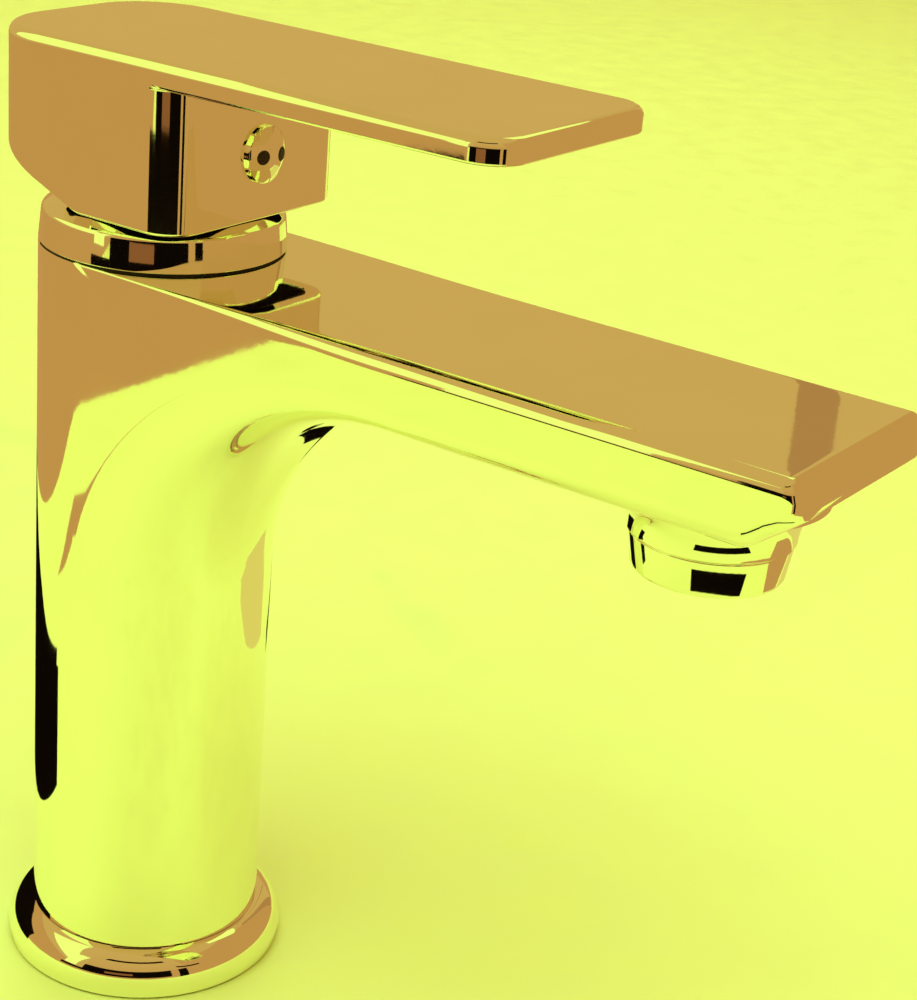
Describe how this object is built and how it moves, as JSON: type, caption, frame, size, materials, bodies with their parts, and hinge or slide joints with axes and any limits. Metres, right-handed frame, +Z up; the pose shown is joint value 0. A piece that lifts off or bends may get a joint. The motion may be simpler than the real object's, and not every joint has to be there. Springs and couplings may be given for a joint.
{
  "type": "bathroom mixer faucet",
  "caption": "Single-lever basin mixer: round column flowing into a flat spout, flat lever that lifts and swivels over a ceramic cartridge.",
  "frame": {"origin": "on the column's axis at the deck face, the underside of the base gasket", "axes": "+Z up along the column; the spout and the lever point along -Y; X runs across, hot side at -X"},
  "size_m": [0.0548, 0.1694, 0.242],
  "materials": {
    "polished_body": "mirror polished plating with a warm pale gold tone",
    "polished_trim": "mirror polished plating with a warm pale gold tone",
    "polished_handle": "mirror polished plating with a warm pale gold tone",
    "black_rubber": "matt",
    "zinc_steel": "zinc plated",
    "raw_brass": "as machined",
    "white_plastic": "moulded",
    "grey_plastic": "moulded",
    "disc_ceramic": "lapped alumina ceramic",
    "hot_enamel": "glossy, very dark",
    "cold_enamel": "glossy, very dark"
  },
  "bodies": {
    "body": {"body_casting": "polished_body", "base_ring": "polished_trim", "base_gasket": "black_rubber", "fixing_stud": "zinc_steel", "fixing_nut": "raw_brass", "horseshoe_washer": "zinc_steel", "horseshoe_gasket": "black_rubber", "cap_seal": "black_rubber", "trim_cap": "polished_trim", "cartridge_nut": "raw_brass", "slip_washer": "white_plastic", "cartridge_housing": "grey_plastic", "cartridge_base": "white_plastic", "cartridge_seals": "black_rubber", "fixed_ceramic_disc": "disc_ceramic", "aerator_shell": "polished_trim", "aerator_insert": "grey_plastic", "aerator_washer": "black_rubber", "flow_regulator": "white_plastic"},
    "swivel": {"cartridge_rotor": "white_plastic", "pivot_pin": "zinc_steel"},
    "disc_slide": {"disc_carrier": "white_plastic", "moving_ceramic_disc": "disc_ceramic"},
    "lever": {"lever_handle": "polished_handle", "cartridge_stem": "raw_brass", "set_screw": "zinc_steel", "index_plug": "polished_trim", "hot_mark": "hot_enamel", "cold_mark": "cold_enamel"}
  },
  "joints": [
    {"name": "temperature_swivel", "type": "hinge", "parent": "body", "child": "swivel", "pos_m": [0, 0, 0.14], "axis": [0, 0, 1], "range_deg": [-45, 45]},
    {"name": "lever_lift", "type": "hinge", "parent": "swivel", "child": "lever", "pos_m": [0, 0, 0.14], "axis": [-1, 0, 0], "range_deg": [0, 25]},
    {"name": "disc_travel", "type": "slide", "parent": "swivel", "child": "disc_slide", "axis": [0, -1, 0], "range_m": [0, 0.0045]}
  ],
  "couplings": [
    {"joint": "disc_travel", "follows": "lever_lift", "m_per_rad": 0.01}
  ]
}
